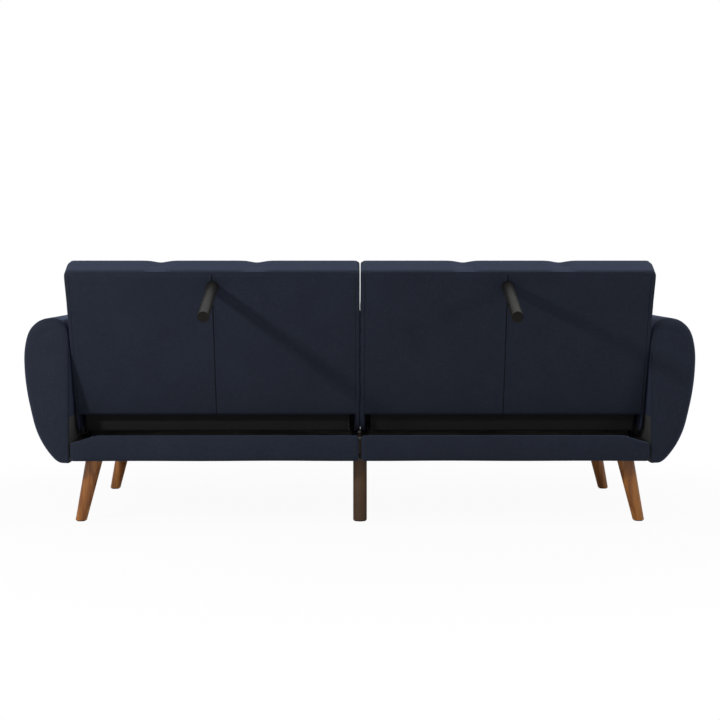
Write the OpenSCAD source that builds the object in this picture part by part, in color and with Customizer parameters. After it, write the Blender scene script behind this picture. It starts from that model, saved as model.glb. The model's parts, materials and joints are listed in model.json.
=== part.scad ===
// Split-back click-clack sofa bed on splayed wooden legs.
// Front faces -Y, up is +Z, the floor is Z = 0 and +X is the sitter's left.

/* [Bed] */
// Width of one half, the same for its seat and its back
half_w = 889; // [760:1:1000]
// Gap between the two halves
centre_gap = 7; // [5:0.5:12]
// Height of the lying surface above the floor
bed_h = 427; // [405:1:450]
// Thickness of the seat pads and of the backs
pad_t = 150; // [140:1:156]
// Depth of the seat pads
seat_d = 576; // [520:1:640]
// Length of a back from its lower end to its top
back_len = 537; // [470:1:600]
// Thickness of the upholstery fabric with its wadding
cover_t = 3; // [2:0.5:4]
// Rounding of the pads' upper front edges
pad_round = 35; // [20:1:38]

/* [Recliner] */
// Angle that the backs lean behind upright
lean = 17; // [14:0.5:20]
// Distance from a back's lower end up to its pivot
pivot_in = 76; // [72:1:80]
// Space between a seat pad and the back's swinging lower end
swing_gap = 4; // [4:0.5:8]
// Rounding of a back's lower front edge
heel_round = 40; // [38:1:44]
// Rounding of a back's lower rear edge
tail_round = 35; // [32:1:40]
// Thickness of the hinge plates
hinge_t = 4; // [3:0.5:5]
// Radius of the hinge plates' eyes
eye_r = 16; // [14:1:18]
// Radius of the hinge pins
pin_r = 5; // [4:0.5:6]

/* [Base frame] */
// Depth of the base from front cover to rear cover
base_d = 819; // [800:1:860]
// Height of the base from its underside to the seat pads
base_h = 75; // [68:1:90]
// Thickness of the front, middle and rear boards
board_t = 22; // [18:1:25]
// Thickness of the side rails
rail_t = 18; // [15:1:18]
// Distance from the seat pads down to the side rails
rail_drop = 20; // [14:1:24]
// Thickness of the padding on a board's outer face
face_pad_t = 5; // [3:0.5:8]
// Width of the slope at the rear boards' outer ends
slope_w = 90; // [60:1:110]
// Drop of that slope
slope_drop = 20; // [10:1:20]
// Thickness of the plywood corner blocks
block_t = 20; // [15:1:22]
// Number of lengthwise straps under each seat
seat_straps = 5; // [3:1:6]
// Width of the webbing straps
strap_w = 50; // [40:1:60]
// Thickness of the webbing straps
strap_t = 1.5; // [1:0.25:2]

/* [Back frame] */
// Width of the stiles and height of the top rail
stile_w = 30; // [24:1:36]
// Depth of the back frame's bars
bar_d = 42; // [36:1:44]
// Height of the recess under the rear panel
recess_h = 68; // [66:0.5:71]
// Depth of that recess
recess_d = 24; // [18:1:28]
// Thickness of the rear panel
panel_t = 2.5; // [2:0.5:3]
// Number of straps across each back
back_straps = 4; // [3:1:6]

/* [Arms] */
// Width of an arm at its fullest
arm_w = 138; // [120:1:150]
// Height of the arms above the lying surface
arm_rise = 214; // [180:1:240]
// Distance that the arms hang below the base
arm_drop = 7; // [3:1:15]
// Distance that the arms stop short of the base's rear
arm_short = 4; // [0:1:8]
// Radius of the arms' long outer curve
arm_sweep_r = 652; // [600:1:720]
// Distance from the roll's centre down to the fullest point
sweep_drop = 46; // [36:1:64]
// Rounding of the arms' lower outer edge
toe_r = 45; // [35:1:60]
// Thickness of the foam round an arm
arm_foam_t = 24; // [18:1:28]
// Thickness of the boards in an arm
arm_board_t = 16; // [12:1:18]

/* [Legs] */
// Distance from the base's front and rear to the leg centres
leg_inset = 90; // [80:1:150]
// Distance from the base's sides in to the wooden legs
leg_side_in = 60.5; // [54:0.5:190]
// Outward splay of the wooden legs
splay = 12.5; // [8:0.5:15]
// Radius of a wooden leg at the floor
foot_r = 16.5; // [13:0.5:19]
// Radius of a wooden leg at its top
leg_top_r = 27; // [21:0.5:29]
// Radius of the round centre legs
centre_leg_r = 21.5; // [16:0.5:24]
// Radius of the backs' support legs
support_r = 17; // [14:0.5:20]
// Distance from a back's top down to its support leg
support_in = 50; // [40:1:80]
// Thickness of the glides under the legs
glide_t = 3; // [2:0.5:5]

/* [Hidden] */
$fn = 64;
skin = 0.3;                 // clearance between pieces of one body
running = 0.05;             // radial clearance round the hinge pins
eps = 1;                    // overrun of the cutters

half_in = centre_gap / 2;
half_out = half_in + half_w;
half_mid = (half_in + half_out) / 2;

// The pivot sits where a back's lower end meets the seat, sitting or flat
pivot_drop = pivot_in * tan((90 - lean) / 2);
pivot_z = bed_h - pivot_drop;
rear_off = pad_t - pivot_drop;
top_off = back_len - pivot_in;

// Support legs reach the floor when the back lies flat
support_gap = 0.5;
support_z = top_off - support_in;
support_tip = pivot_z - support_gap;
plate_t = 3;
plate_rim = 2;

// The front is placed so that the whole depth is centred on Y = 0
pivot_from_front = seat_d + swing_gap + pivot_in;
tip_y = support_z * sin(lean) + support_tip * cos(lean) + support_r * sin(lean);
front_y = -(pivot_from_front + tip_y) / 2;
rear_y = front_y + base_d;
pivot_y = front_y + pivot_from_front;

base_top = bed_h - pad_t;
base_bottom = base_top - base_h;
board_z0 = base_bottom + cover_t + skin;
board_z1 = base_top - cover_t - 2 * skin;
front_board_y = front_y + face_pad_t + skin;
rear_board_y = rear_y - face_pad_t - skin - board_t;
mid_setback = 8;
mid_board_y = front_y + seat_d - board_t - mid_setback;
bay_y0 = front_board_y + board_t + skin;
bay_y1 = rear_board_y - skin;
rail_inset = 2.5;
rail_z1 = base_top - rail_drop;
rail_round = 10;
turn_round = 1;
block_w = 120;
block_d = 190;
dust_t = 1;
edge_round = 8;
seat_rear_round = 25;

// Hinge plates stand between a side rail and the end of the back's frame
base_plate_x = half_out - rail_inset - rail_t - skin - hinge_t;
plate_play = 0.5;
back_plate_x = base_plate_x - plate_play - hinge_t;
frame_end = back_plate_x - skin;
frame_start = half_in + half_out - frame_end;
pin_head_t = 2.5;
pin_head_r = 9;
slot_play = 1.5;
slot_side = 4;
slot_x0 = back_plate_x - pin_head_t - slot_play;
slot_x1 = base_plate_x + hinge_t + pin_head_t + slot_side;
slot_front = 50;
slot_top = eye_r + slot_side;
foot_front = 60;
foot_rear = 40;
shoulder = 20;
plate_reach = 85;
plate_edge = 3;
foot_lift = 2;

bar_y1 = rear_off - panel_t - 2 * skin;
bar_y0 = bar_y1 - bar_d;
lining_t = 1.2;
recess_z = recess_h - pivot_in;
recess_y = rear_off - recess_d;
lip_h = 30;
bottom_rail_z1 = recess_z + lip_h;
top_rail_z1 = top_off - cover_t - skin;
top_rail_z0 = top_rail_z1 - stile_w;
return_w = 10;

arm_top = bed_h + arm_rise;
arm_bottom = base_bottom - arm_drop;
arm_gap = 2.5;
arm_in = half_out + arm_gap;
arm_r = arm_w / 2;
arm_eye_x = arm_in + arm_r;
arm_eye_z = arm_top - arm_r;
arm_y0 = front_y;
arm_len = base_d - arm_short;
arm_panel_top = arm_eye_z - cover_t;
arm_hollow = cover_t + skin + arm_foam_t;
rib_play = 1;
sweep_x = arm_in + arm_w - arm_sweep_r;
sweep_z = arm_eye_z - sweep_drop;
toe_z = arm_bottom + toe_r;
toe_angle = asin((sweep_z - toe_z) / (arm_sweep_r - toe_r));
toe_x = sweep_x + (arm_sweep_r - toe_r) * cos(toe_angle);

bolt_r = 4;
bolt_hole_r = 4.2;
head_r = 8;
head_t = 4;
nut_r = 6;
bolt_span = 60;
stud_r = 6;
stud_in = 4;
bore_r = 6.2;
bolt_z = (board_z0 + block_t + rail_z1) / 2;
cross_straps = 3;
strap_run = mid_board_y - skin - bay_y0;
cross_gap = strap_run / (cross_straps + 1);
bolt_ys = [bay_y0 + cross_gap / 2, bay_y0 + (cross_straps - 0.5) * cross_gap,
    (mid_board_y + board_t + pivot_y - foot_front) / 2];
leg_x = half_out - leg_side_in;
leg_ys = [front_y + leg_inset, rear_y - leg_inset];
leg_plate_w = 90;
glide_in = 2.5;

// ---- helpers ----

// side is 1 for the left half and -1 for the right one
module on_side(side) {
    if (side > 0) children();
    else mirror([1, 0, 0]) children();
}

module both_sides() {
    for (side = [-1, 1]) on_side(side) children();
}

// a half's piece and its mirror image across the middle of that half
module both_ends() {
    children();
    translate([2 * half_mid, 0, 0]) mirror([1, 0, 0]) children();
}

// local frame of a back: origin on the pivot, +Z up the back, +Y out of its rear
module on_back() {
    translate([0, pivot_y, pivot_z]) rotate([-lean, 0, 0]) children();
}

// extrude an outline drawn in Y and Z along X
module along_x(x0, w) {
    translate([x0, 0, 0]) rotate([90, 0, 90]) linear_extrude(w) children();
}

// extrude an outline drawn in X and Z along Y
module along_y(y0, len) {
    translate([0, y0 + len, 0]) rotate([90, 0, 0]) linear_extrude(len) children();
}

module box(low, high) {
    translate(low) cube(high - low);
}

// what a rounded corner takes off a square one
module corner_cut(at, turn, r) {
    translate(at) rotate(turn) difference() {
        translate([-eps, -eps]) square(r + eps);
        translate([r, r]) circle(r);
    }
}

// radii run from the lower front corner to the upper front one
module rounded(low, high, radii) {
    difference() {
        translate(low) square(high - low);
        corner_cut(low, 0, radii[0]);
        corner_cut([high[0], low[1]], 90, radii[1]);
        corner_cut(high, 180, radii[2]);
        corner_cut([low[0], high[1]], 270, radii[3]);
    }
}

// ---- base frame ----

module front_rail(side) {
    color("tan") on_side(side)
        box([half_in + cover_t + skin, front_board_y, board_z0],
            [half_out - rail_inset, front_board_y + board_t, board_z1]);
}

// room under a board's top edge, which slopes down at the outer end
module under_slope(y0, y1, top, drop) {
    along_y(y0, y1 - y0) polygon([[0, 0], [half_out + eps, 0], [half_out + eps, top - drop],
        [half_out, top - drop], [half_out - slope_w, top], [0, top]]);
}

module rear_rail(side) {
    color("tan") on_side(side) intersection() {
        box([half_in + cover_t + skin, rear_board_y, board_z0],
            [half_out - rail_inset, rear_board_y + board_t, board_z1]);
        under_slope(rear_board_y - eps, rear_y, board_z1, slope_drop);
    }
}

module side_rail() {
    box([half_out - rail_inset - rail_t, bay_y0, board_z0],
        [half_out - rail_inset, bay_y1, rail_z1]);
}

module bolt_holes(ys) {
    for (y = ys) translate([half_out - bolt_span, y, bolt_z]) rotate([0, 90, 0])
        cylinder(h = 2 * bolt_span, r = bolt_hole_r);
}

module outer_rail(side) {
    color("tan") on_side(side) difference() {
        side_rail();
        bolt_holes(bolt_ys);
    }
}

module inner_rails() {
    color("tan") both_sides() difference() {
        translate([2 * half_mid, 0, 0]) mirror([1, 0, 0]) side_rail();
        for (y = bolt_ys) translate([0, y, bolt_z]) rotate([0, 90, 0])
            cylinder(h = bolt_span, r = bolt_hole_r);
    }
}

module mid_rails() {
    color("tan") both_sides()
        box([half_in + rail_inset + rail_t + skin, mid_board_y, board_z0],
            [half_out - rail_inset - rail_t - skin, mid_board_y + board_t, board_z1]);
}

// plywood gussets that the wooden legs are screwed to
module corner_blocks() {
    block_x1 = half_out - rail_inset - rail_t - skin;
    rear_block_y = mid_board_y + board_t + skin;
    color("burlywood") both_sides() {
        box([block_x1 - block_w, bay_y0, board_z0],
            [block_x1, bay_y0 + block_d, board_z0 + block_t]);
        box([block_x1 - block_w, rear_block_y, board_z0],
            [block_x1, bay_y1, board_z0 + block_t]);
    }
}

// elastic straps with a stapled tab at each end
module strap(len) {
    tab_h = 30;
    translate([-strap_w / 2, 0, -strap_t]) cube([strap_w, len, strap_t]);
    for (y = [0, len - strap_t]) translate([-strap_w / 2, y, -tab_h])
        cube([strap_w, strap_t, tab_h]);
}

module seat_webbing(side) {
    cross_x0 = half_in + rail_inset + rail_t + skin;
    cross_len = half_out - rail_inset - rail_t - skin - cross_x0;
    pitch = half_w / (seat_straps + 1);
    cross_z = board_z1 - strap_t - skin;
    color("dimgray") on_side(side) {
        for (i = [1:seat_straps]) translate([half_in + i * pitch, bay_y0, board_z1])
            strap(strap_run);
        for (i = [1:cross_straps]) translate([cross_x0, bay_y0 + i * cross_gap, cross_z])
            rotate([0, 0, -90]) strap(cross_len);
    }
}

module frame_bolts() {
    reach = half_in + rail_inset + rail_t + skin;
    color("silver") for (y = bolt_ys) translate([0, y, bolt_z]) rotate([0, 90, 0]) {
        cylinder(h = 2 * (reach + head_t + skin), r = bolt_r, center = true);
        for (z = [-reach - head_t, reach]) translate([0, 0, z])
            cylinder(h = head_t, r = head_r);
    }
}

// ---- seat ----

module seat_outline(d) {
    rounded([front_y + d, base_top + d], [front_y + seat_d - d, bed_h - d],
        [edge_round - d, edge_round - d, seat_rear_round - d, pad_round - d]);
}

module seat_foam(side) {
    inset = cover_t + skin;
    color("khaki") on_side(side)
        along_x(half_in + inset, half_w - 2 * inset) seat_outline(inset);
}

module seat_cover(side) {
    color("darkslateblue") on_side(side) difference() {
        along_x(half_in, half_w) seat_outline(0);
        along_x(half_in + cover_t, half_w - 2 * cover_t) seat_outline(cover_t);
    }
}

// padded fabric wrapped round a board, its outer face at Y = 0
module rail_cover(drop) {
    deep = face_pad_t + skin + board_t;
    top = base_top - skin;
    difference() {
        intersection() {
            along_x(half_in, half_w)
                rounded([-deep, base_bottom], [0, top],
                    [turn_round, rail_round, rail_round, turn_round]);
            under_slope(-deep - eps, eps, top, drop);
        }
        intersection() {
            box([half_in + cover_t, -deep - eps, base_bottom + cover_t],
                [half_out + eps, -face_pad_t, top]);
            under_slope(-deep - 2 * eps, eps, top - cover_t, drop);
        }
    }
}

module front_rail_covers() {
    color("darkslateblue") both_sides() translate([0, front_y, 0]) mirror([0, 1, 0])
        rail_cover(0);
}

module rear_rail_covers() {
    color("darkslateblue") both_sides() translate([0, rear_y, 0]) rail_cover(slope_drop);
}

// cloth under the frame, cut out round the leg plates
module dust_covers() {
    z1 = board_z0 - skin;
    room = leg_plate_w / 2 + dust_t;
    color("black") both_sides() difference() {
        box([half_in + cover_t, bay_y0, z1 - dust_t], [half_out - rail_inset - skin, bay_y1, z1]);
        for (x = [0, leg_x], y = leg_ys)
            box([x - room, y - room, z1 - dust_t - eps], [x + room, y + room, z1 + eps]);
    }
}

// ---- arms ----

// cross-section of an arm, inset by d from its outer face, its inner face at inner_x
module arm_outline(d, inner_x) {
    touch_z = toe_z - toe_r * sin(toe_angle);
    intersection() {
        translate([sweep_x, sweep_z]) circle(arm_sweep_r - d, $fn = 200);
        translate([inner_x, touch_z]) square([arm_w, arm_eye_z - touch_z]);
    }
    intersection() {
        translate([toe_x, toe_z]) circle(toe_r - d);
        translate([inner_x, arm_bottom]) square(arm_w);
    }
    translate([inner_x, arm_bottom + d]) square([toe_x - inner_x, toe_r]);
    translate([arm_eye_x, arm_eye_z]) circle(arm_r - d);
}

module arm_skin(d) {
    arm_outline(d, arm_in + d);
}

module arm_cover(side) {
    color("darkslateblue") on_side(side) difference() {
        along_y(arm_y0, arm_len) arm_skin(0);
        along_y(arm_y0 + cover_t, arm_len - 2 * cover_t) arm_skin(cover_t);
        bolt_holes(bolt_ys);
    }
}

// the inner board that the bolts hold, and the space that the ribs stand in
module arm_board(d) {
    low = arm_bottom + cover_t + 2 * skin;
    translate([arm_in + cover_t + skin - d, low - d])
        square([arm_board_t + 2 * d, arm_panel_top - low + 2 * d]);
}

module arm_cavity(d) {
    arm_outline(arm_hollow + d, arm_in + cover_t + skin + arm_board_t);
}

module arm_foam(side) {
    inset = cover_t + skin;
    color("khaki") on_side(side) difference() {
        along_y(arm_y0 + inset, arm_len - 2 * inset) arm_skin(inset);
        along_y(arm_y0 + inset - eps, arm_len) arm_board(skin);
        along_y(arm_y0 + arm_hollow, arm_len - 2 * arm_hollow) arm_cavity(0);
        bolt_holes(bolt_ys);
    }
}

module arm_frame(side) {
    inset = cover_t + 2 * skin;
    rib_y0 = arm_y0 + arm_hollow + skin;
    rib_gap = (arm_len - 2 * (arm_hollow + skin) - arm_board_t) / 2;
    color("burlywood") on_side(side) difference() {
        union() {
            along_y(arm_y0 + inset, arm_len - 2 * inset) arm_board(0);
            for (i = [0:2]) along_y(rib_y0 + i * rib_gap, arm_board_t) arm_cavity(rib_play);
        }
        bolt_holes(bolt_ys);
    }
}

module arm_bolts() {
    head_x = half_out - rail_inset - rail_t - skin - head_t;
    nut_x = arm_in + cover_t + skin + arm_board_t + skin;
    color("silver") both_sides() for (y = bolt_ys)
        translate([0, y, bolt_z]) rotate([0, 90, 0]) {
            translate([0, 0, head_x]) cylinder(h = head_t, r = head_r);
            translate([0, 0, head_x]) cylinder(h = nut_x + head_t + skin - head_x, r = bolt_r);
            translate([0, 0, nut_x]) cylinder(h = head_t, r = nut_r);
        }
}

// ---- legs ----

leg_top_z = base_bottom - skin;
leg_reach = leg_top_z * tan(splay);

// a straight taper, cut level at the plate and at the glide
module wooden_leg(side, y) {
    spare = leg_top_r / 2;
    wide = 2 * leg_top_r;
    color("peru") on_side(side) intersection() {
        translate([leg_x + leg_reach, y, 0]) rotate([0, -splay, 0]) translate([0, 0, -spare])
            cylinder(h = leg_top_z / cos(splay) + 2 * spare, r1 = foot_r, r2 = leg_top_r);
        box([leg_x - wide, y - wide, glide_t], [leg_x + leg_reach + wide, y + wide, leg_top_z]);
    }
}

module leg_plates() {
    w = leg_plate_w / 2;
    color("dimgray") both_sides() for (y = leg_ys)
        box([leg_x - w, y - w, base_bottom], [leg_x + w, y + w, board_z0 - skin]);
}

module centre_legs() {
    color("saddlebrown") for (y = leg_ys) translate([0, y, glide_t])
        cylinder(h = leg_top_z - glide_t, r = centre_leg_r);
}

// plates that tie the two half frames together over the centre legs
module centre_plates() {
    w = leg_plate_w / 2;
    color("dimgray") for (y = leg_ys)
        box([-w, y - w, base_bottom], [w, y + w, board_z0 - skin]);
}

module leg_glides() {
    foot_x = leg_x + leg_reach - glide_t * tan(splay);
    color("black") for (y = leg_ys) {
        translate([0, y, 0]) cylinder(h = glide_t, r = centre_leg_r - glide_in);
        both_sides() translate([foot_x, y, 0]) cylinder(h = glide_t, r = foot_r - glide_in);
    }
}

// ---- hinges ----

// pin hole along X through the pivot, in a back's local frame
module pin_hole() {
    rotate([0, 90, 0]) cylinder(h = 4 * half_w, r = pin_r + running, center = true);
}

module base_plate() {
    foot_z0 = board_z0 + block_t + foot_lift - pivot_z;
    foot_z1 = rail_z1 - pivot_z;
    neck = recess_z - plate_edge;
    bend = bar_y0 + eps;
    translate([0, pivot_y, pivot_z]) difference() {
        along_x(base_plate_x, hinge_t) {
            circle(eye_r);
            polygon([[-eye_r, 0], [-foot_front, -foot_front], [-foot_front, foot_z0],
                [foot_rear, foot_z0], [foot_rear, foot_z1], [neck, foot_z1], [neck, -bend],
                [eye_r - plate_edge, shoulder - bend], [eye_r, 0]]);
        }
        pin_hole();
    }
}

module hinge_base_plates() {
    color("dimgray") both_sides() both_ends() base_plate();
}

module back_plate() {
    top_z = bottom_rail_z1 + plate_reach;
    difference() {
        along_x(back_plate_x, hinge_t) {
            circle(eye_r);
            polygon([[0, eye_r], [bar_y0 + plate_edge, eye_r], [bar_y0 + plate_edge, top_z],
                [bar_y1 - plate_edge, top_z], [bar_y1 - plate_edge, 0], [0, -eye_r]]);
        }
        pin_hole();
    }
}

module hinge_back_plates(side) {
    color("dimgray") on_side(side) both_ends() on_back() back_plate();
}

module hinge_pins() {
    x0 = back_plate_x - pin_head_t - plate_play;
    x1 = base_plate_x + hinge_t + skin;
    color("silver") both_sides() both_ends() translate([0, pivot_y, pivot_z])
        rotate([0, 90, 0]) {
            translate([0, 0, x0]) cylinder(h = x1 + pin_head_t - x0, r = pin_r);
            for (x = [x0, x1]) translate([0, 0, x]) cylinder(h = pin_head_t, r = pin_head_r);
        }
}

// ---- backs, drawn in their local frame ----

module back_outline(d) {
    rounded([-pivot_drop + d, -pivot_in + d], [rear_off - d, top_off - d],
        [heel_round - d, tail_round - d, edge_round - d, pad_round - d]);
}

// slots that the base plates pass through as the back swings
module hinge_slots() {
    both_ends() {
        box([slot_x0, -slot_front, -pivot_in - eps], [slot_x1, bar_y0 + eps, slot_top]);
        box([slot_x0, bar_y0, -pivot_in - eps], [slot_x1, rear_off + eps, recess_z - skin]);
    }
}

// the room that the cover leaves inside a back, between two places along X
module back_room(x0, x1, d) {
    along_x(x0, x1 - x0) back_outline(d);
}

module back_top_rail(side) {
    color("tan") on_side(side) on_back() intersection() {
        box([frame_start, bar_y0, top_rail_z0], [frame_end, bar_y1, top_rail_z1]);
        back_room(frame_start, frame_end, cover_t + skin);
    }
}

// rebated board that leaves the recess under the rear panel
module back_bottom_rail(side) {
    color("tan") on_side(side) on_back() difference() {
        intersection() {
            box([frame_start, bar_y0, -pivot_in], [frame_end, bar_y1, bottom_rail_z1]);
            back_room(frame_start, frame_end, cover_t + skin);
        }
        box([frame_start - eps, recess_y, -pivot_in - eps],
            [frame_end + eps, rear_off, recess_z - skin]);
    }
}

module back_stiles(side) {
    w = stile_w / 2;
    color("tan") on_side(side) on_back() difference() {
        for (x = [frame_start + w, half_mid, frame_end - w])
            box([x - w, bar_y0, bottom_rail_z1 + skin], [x + w, bar_y1, top_rail_z0 - skin]);
        support_bore(bore_r);
    }
}

module back_webbing(side) {
    z0 = bottom_rail_z1;
    pitch = (top_rail_z0 - z0) / (back_straps + 1);
    color("dimgray") on_side(side) on_back() for (i = [1:back_straps])
        box([frame_start, bar_y0 - skin - strap_t, z0 + i * pitch - strap_w / 2],
            [frame_end, bar_y0 - skin, z0 + i * pitch + strap_w / 2]);
}

module back_foam(side) {
    inset = cover_t + skin;
    color("khaki") on_side(side) on_back() difference() {
        along_x(half_in + inset, half_w - 2 * inset) intersection() {
            back_outline(inset);
            translate([-pad_t, -pivot_in])
                square([pad_t + bar_y0 - strap_t - 2 * skin, back_len]);
        }
        hinge_slots();
    }
}

// fabric round front, top, end and sides, turned in round the rear opening
module back_cover(side) {
    color("darkslateblue") on_side(side) on_back() difference() {
        along_x(half_in, half_w) back_outline(0);
        along_x(half_in + cover_t, half_w - 2 * cover_t) back_outline(cover_t);
        box([half_in + return_w, recess_y, recess_z - back_len],
            [half_out - return_w, rear_off + eps, top_off - return_w]);
        hinge_slots();
    }
}

// threaded stud hole of the support leg, through panel and middle stile
module support_bore(r) {
    translate([half_mid, 0, support_z]) rotate([-90, 0, 0]) cylinder(h = 2 * pad_t, r = r);
}

module back_panel(side) {
    color("darkslateblue") on_side(side) on_back() difference() {
        box([half_in + return_w + skin, rear_off - panel_t - skin, recess_z],
            [half_out - return_w - skin, rear_off - skin, top_off - return_w - skin]);
        support_bore(bore_r);
    }
}

module back_lining(side) {
    x1 = slot_x0 - skin;
    x0 = 2 * half_mid - x1;
    color("black") on_side(side) on_back() intersection() {
        box([x0, recess_y + skin, -pivot_in],
            [x1, recess_y + skin + lining_t, recess_z - 2 * skin]);
        back_room(x0, x1, cover_t);
    }
}

module support_plate(side) {
    color("dimgray") on_side(side) on_back() difference() {
        translate([half_mid, rear_off, support_z]) rotate([-90, 0, 0])
            cylinder(h = plate_t, r = support_r + plate_rim);
        support_bore(bore_r);
    }
}

module support_leg(side) {
    leg_y0 = rear_off + plate_t + skin;
    color("saddlebrown") on_side(side) on_back()
        translate([half_mid, 0, support_z]) rotate([-90, 0, 0]) {
            translate([0, 0, leg_y0]) cylinder(h = support_tip - leg_y0, r = support_r);
            translate([0, 0, bar_y0 + stud_in]) cylinder(h = leg_y0 - bar_y0, r = stud_r);
        }
}

front_rail(1);  // front_rail_left
front_rail(-1);  // front_rail_right
rear_rail(1);  // rear_rail_left
rear_rail(-1);  // rear_rail_right
outer_rail(1);  // outer_rail_left
outer_rail(-1);  // outer_rail_right
inner_rails();
mid_rails();
corner_blocks();
seat_webbing(1);  // seat_webbing_left
seat_webbing(-1);  // seat_webbing_right
seat_foam(1);  // seat_foam_left
seat_foam(-1);  // seat_foam_right
seat_cover(1);  // seat_cover_left
seat_cover(-1);  // seat_cover_right
front_rail_covers();
rear_rail_covers();
dust_covers();
arm_frame(1);  // arm_frame_left
arm_frame(-1);  // arm_frame_right
arm_foam(1);  // arm_foam_left
arm_foam(-1);  // arm_foam_right
arm_cover(1);  // arm_cover_left
arm_cover(-1);  // arm_cover_right
arm_bolts();
frame_bolts();
wooden_leg(1, leg_ys[0]);  // front_leg_left
wooden_leg(-1, leg_ys[0]);  // front_leg_right
wooden_leg(1, leg_ys[1]);  // rear_leg_left
wooden_leg(-1, leg_ys[1]);  // rear_leg_right
leg_plates();
centre_legs();
centre_plates();
leg_glides();
hinge_base_plates();
hinge_pins();
back_top_rail(1);  // back_top_rail_left
back_top_rail(-1);  // back_top_rail_right
back_bottom_rail(1);  // back_bottom_rail_left
back_bottom_rail(-1);  // back_bottom_rail_right
back_stiles(1);  // back_stiles_left
back_stiles(-1);  // back_stiles_right
back_webbing(1);  // back_webbing_left
back_webbing(-1);  // back_webbing_right
back_foam(1);  // back_foam_left
back_foam(-1);  // back_foam_right
back_cover(1);  // back_cover_left
back_cover(-1);  // back_cover_right
back_panel(1);  // back_panel_left
back_panel(-1);  // back_panel_right
back_lining(1);  // back_lining_left
back_lining(-1);  // back_lining_right
hinge_back_plates(1);  // hinge_back_plates_left
hinge_back_plates(-1);  // hinge_back_plates_right
support_leg(1);  // support_leg_left
support_leg(-1);  // support_leg_right
support_plate(1);  // support_plate_left
support_plate(-1);  // support_plate_right
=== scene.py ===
import json
from math import cos, pi, radians, sin

import bmesh
import bpy
import numpy as np
from mathutils import Matrix, Vector


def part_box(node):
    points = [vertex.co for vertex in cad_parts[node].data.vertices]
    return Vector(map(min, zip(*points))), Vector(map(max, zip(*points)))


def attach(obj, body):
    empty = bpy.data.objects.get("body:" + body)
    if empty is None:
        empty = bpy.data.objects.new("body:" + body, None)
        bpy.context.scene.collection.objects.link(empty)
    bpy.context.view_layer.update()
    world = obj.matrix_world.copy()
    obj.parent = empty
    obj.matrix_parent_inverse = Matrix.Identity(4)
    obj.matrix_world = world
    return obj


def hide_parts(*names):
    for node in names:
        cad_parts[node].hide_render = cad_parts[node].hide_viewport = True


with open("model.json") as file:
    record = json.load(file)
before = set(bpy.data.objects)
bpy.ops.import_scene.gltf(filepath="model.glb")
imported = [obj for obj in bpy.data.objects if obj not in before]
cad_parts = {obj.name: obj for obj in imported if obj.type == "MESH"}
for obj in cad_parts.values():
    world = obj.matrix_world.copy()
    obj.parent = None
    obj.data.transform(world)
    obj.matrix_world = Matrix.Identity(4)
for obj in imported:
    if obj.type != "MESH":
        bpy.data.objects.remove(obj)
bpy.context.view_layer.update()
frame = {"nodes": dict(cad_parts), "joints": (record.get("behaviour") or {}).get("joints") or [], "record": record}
nodes = frame["nodes"]
mm = 0.001
print("frame loaded")

# places taken from the frame

backLean = radians(17)
pivot = Vector(frame["joints"][0]["pos_m"])
backPlace = Matrix.Translation((0, pivot.y, pivot.z)) @ Matrix.Rotation(-backLean, 4, "X")


def localBox(node):  # a back's node in that back's own upright frame
    turn = backPlace.inverted()
    points = [turn @ v.co for v in nodes[node].data.vertices]
    return Vector(map(min, zip(*points))), Vector(map(max, zip(*points)))


# shader expressions


class Flow:  # a node socket that can be used in an expression
    def __init__(self, tree, socket=None):
        self.tree = tree
        self.socket = socket

    def add(self, kind, settings=None, sockets=None, output=0):
        made = self.tree.nodes.new(kind)
        for name, value in (settings or {}).items():
            setattr(made, name, value)
        for name, value in (sockets or {}).items():
            if isinstance(value, Flow):
                self.tree.links.new(value.socket, made.inputs[name])
            else:
                made.inputs[name].default_value = value
        return Flow(self.tree, made.outputs[output] if made.outputs else None)

    def math(self, operation, *values):
        return self.add("ShaderNodeMath", {"operation": operation}, dict(enumerate(values)))

    def __add__(self, other):
        return self.math("ADD", self, other)

    __radd__ = __add__

    def __sub__(self, other):
        return self.math("SUBTRACT", self, other)

    def __rsub__(self, other):
        return self.math("SUBTRACT", other, self)

    def __mul__(self, other):
        return self.math("MULTIPLY", self, other)

    __rmul__ = __mul__

    def __pow__(self, other):
        return self.math("POWER", self, other)

    def __abs__(self):
        return self.math("ABSOLUTE", self)

    def wave(self):
        return self.math("SINE", self)

    def step(self, low, high):  # 0 below low, 1 above high, smooth between
        return self.add(
            "ShaderNodeMapRange",
            {"interpolation_type": "SMOOTHSTEP"},
            {"Value": self, "From Min": low, "From Max": high},
        )

    def colours(self, first, second):  # first where this is 0, second where it is 1
        sockets = {0: self, 6: first, 7: second}
        return self.add("ShaderNodeMix", {"data_type": "RGBA"}, sockets, 2)

    def vector(self, operation, *values, output=0):
        sockets = dict(enumerate(values))
        return self.add("ShaderNodeVectorMath", {"operation": operation}, sockets, output)

    def split(self):
        made = self.add("ShaderNodeSeparateXYZ", sockets={0: self})
        outputs = made.socket.node.outputs
        return [Flow(self.tree, outputs[i]) for i in range(3)]

    def noise(self, scale, detail=2.0, roughness=0.5, stretch=None):
        place = self.vector("MULTIPLY", self, stretch) if stretch else self
        sockets = {"Vector": place, "Scale": scale, "Detail": detail, "Roughness": roughness}
        return self.add("ShaderNodeTexNoise", sockets=sockets)

    def bump(self, distance, strength=1.0, normal=None):
        sockets = {"Height": self, "Distance": distance, "Strength": strength}
        if normal:
            sockets["Normal"] = normal
        return self.add("ShaderNodeBump", sockets=sockets)


def linear(red, green, blue):  # a screen colour of 0 to 255 as a shader colour
    parts = [c / 255 for c in (red, green, blue)]
    return [c / 12.92 if c <= 0.04045 else ((c + 0.055) / 1.055) ** 2.4 for c in parts] + [1]


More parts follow.
